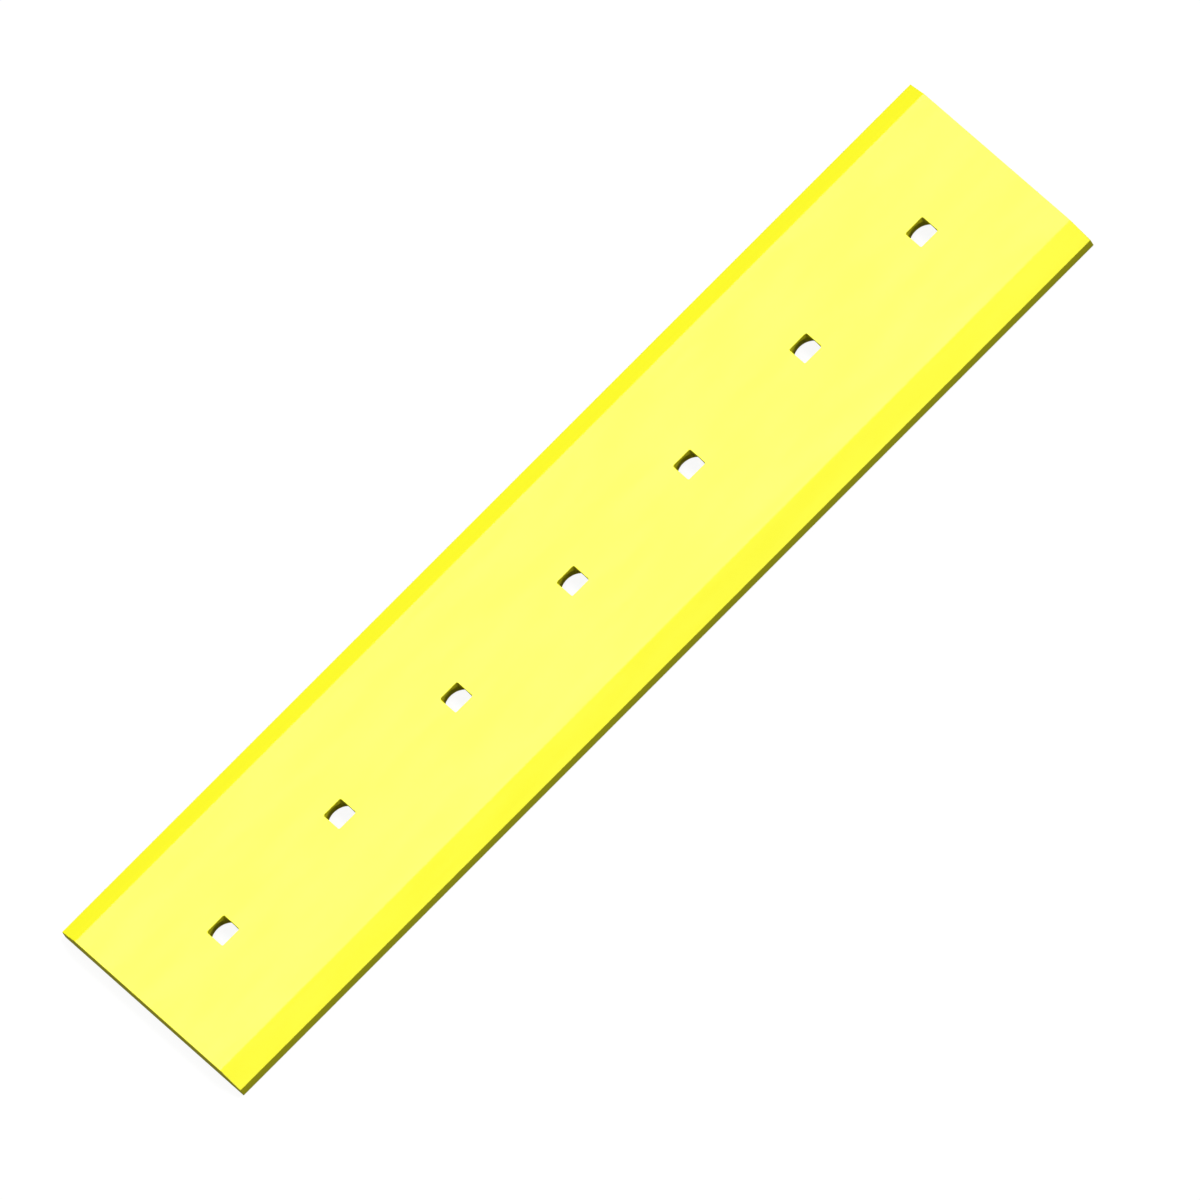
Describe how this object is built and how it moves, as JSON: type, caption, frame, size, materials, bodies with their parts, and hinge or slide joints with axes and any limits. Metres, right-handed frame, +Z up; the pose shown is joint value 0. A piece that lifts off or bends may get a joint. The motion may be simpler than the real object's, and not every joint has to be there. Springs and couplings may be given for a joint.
{
  "type": "cutting edge",
  "caption": "Flat steel cutting edge for an earthmover blade or bucket, with bevelled long edges and a row of square countersunk bolt holes.",
  "frame": {"origin": "middle of the flat wear face that the bar lies on", "axes": "+X along the bar, +Y across it, +Z up through its thickness, from the wear face to the bevelled face"},
  "size_m": [1.112, 0.254, 0.0222],
  "materials": {
    "yellow_paint": "smooth gloss enamel on rolled steel"
  },
  "bodies": {
    "root": {"cutting_edge": "yellow_paint"}
  },
  "joints": []
}
